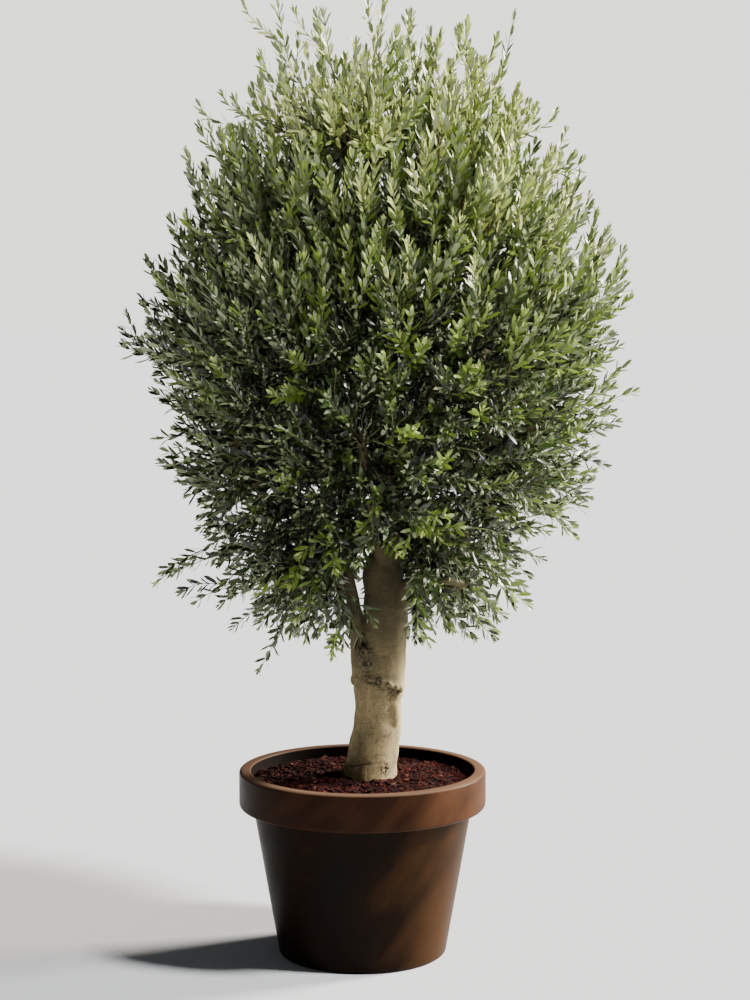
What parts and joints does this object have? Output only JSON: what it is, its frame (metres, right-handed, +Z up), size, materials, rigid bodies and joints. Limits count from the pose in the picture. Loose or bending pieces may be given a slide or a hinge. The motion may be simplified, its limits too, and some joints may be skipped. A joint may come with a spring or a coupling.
{
  "type": "potted olive tree",
  "caption": "Potted olive tree: a leaning trunk and a slim side stem rise from bark mulch in a round tapered pot and bear a broad, loose head of slender leaves.",
  "frame": {"origin": "centre of the pot's flat underside, on the ground", "axes": "+Z up along the pot's axis, +X to the tree's right where the thick lower bough leaves, -Y towards its front"},
  "size_m": [1.3258, 1.2823, 2.4749],
  "materials": {
    "pot": "satin moulded plastic in warm brown",
    "mulch": "loose dark red-brown bark chips",
    "bark": "smooth grey-olive bark",
    "leaf": "leathery grey-green leaves, silvery below"
  },
  "bodies": {
    "root": {"pot": "pot", "mulch": "mulch", "bough_back": "bark", "bough_front": "bark", "bough_low_back_left": "bark", "bough_low_back_right": "bark", "bough_low_front_left": "bark", "bough_low_front_right": "bark", "bough_lower_back_left": "bark", "bough_middle_back": "bark", "bough_middle_front_left": "bark", "bough_middle_front_right": "bark", "bough_middle_left": "bark", "bough_middle_right": "bark", "bough_right": "bark", "bough_top_back_left": "bark", "bough_top_right": "bark", "bough_upper_back_left": "bark", "bough_upper_back_right": "bark", "bough_upper_front_left": "bark", "bough_upper_front_right": "bark", "leader": "bark", "side_stem": "bark", "trunk": "bark", "low_back_left": "leaf", "low_back_right": "leaf", "low_front_left": "leaf", "low_front_right": "leaf", "lower_back_left": "leaf", "lower_back_right": "leaf", "lower_front": "leaf", "lower_left": "leaf", "lower_right": "leaf", "middle_back": "leaf", "middle_front_left": "leaf", "middle_front_right": "leaf", "middle_left": "leaf", "middle_right": "leaf", "top_back_left": "leaf", "top_front_left": "leaf", "top_right": "leaf", "upper_back_left": "leaf", "upper_back_right": "leaf", "upper_front_left": "leaf", "upper_front_right": "leaf"}
  },
  "joints": []
}
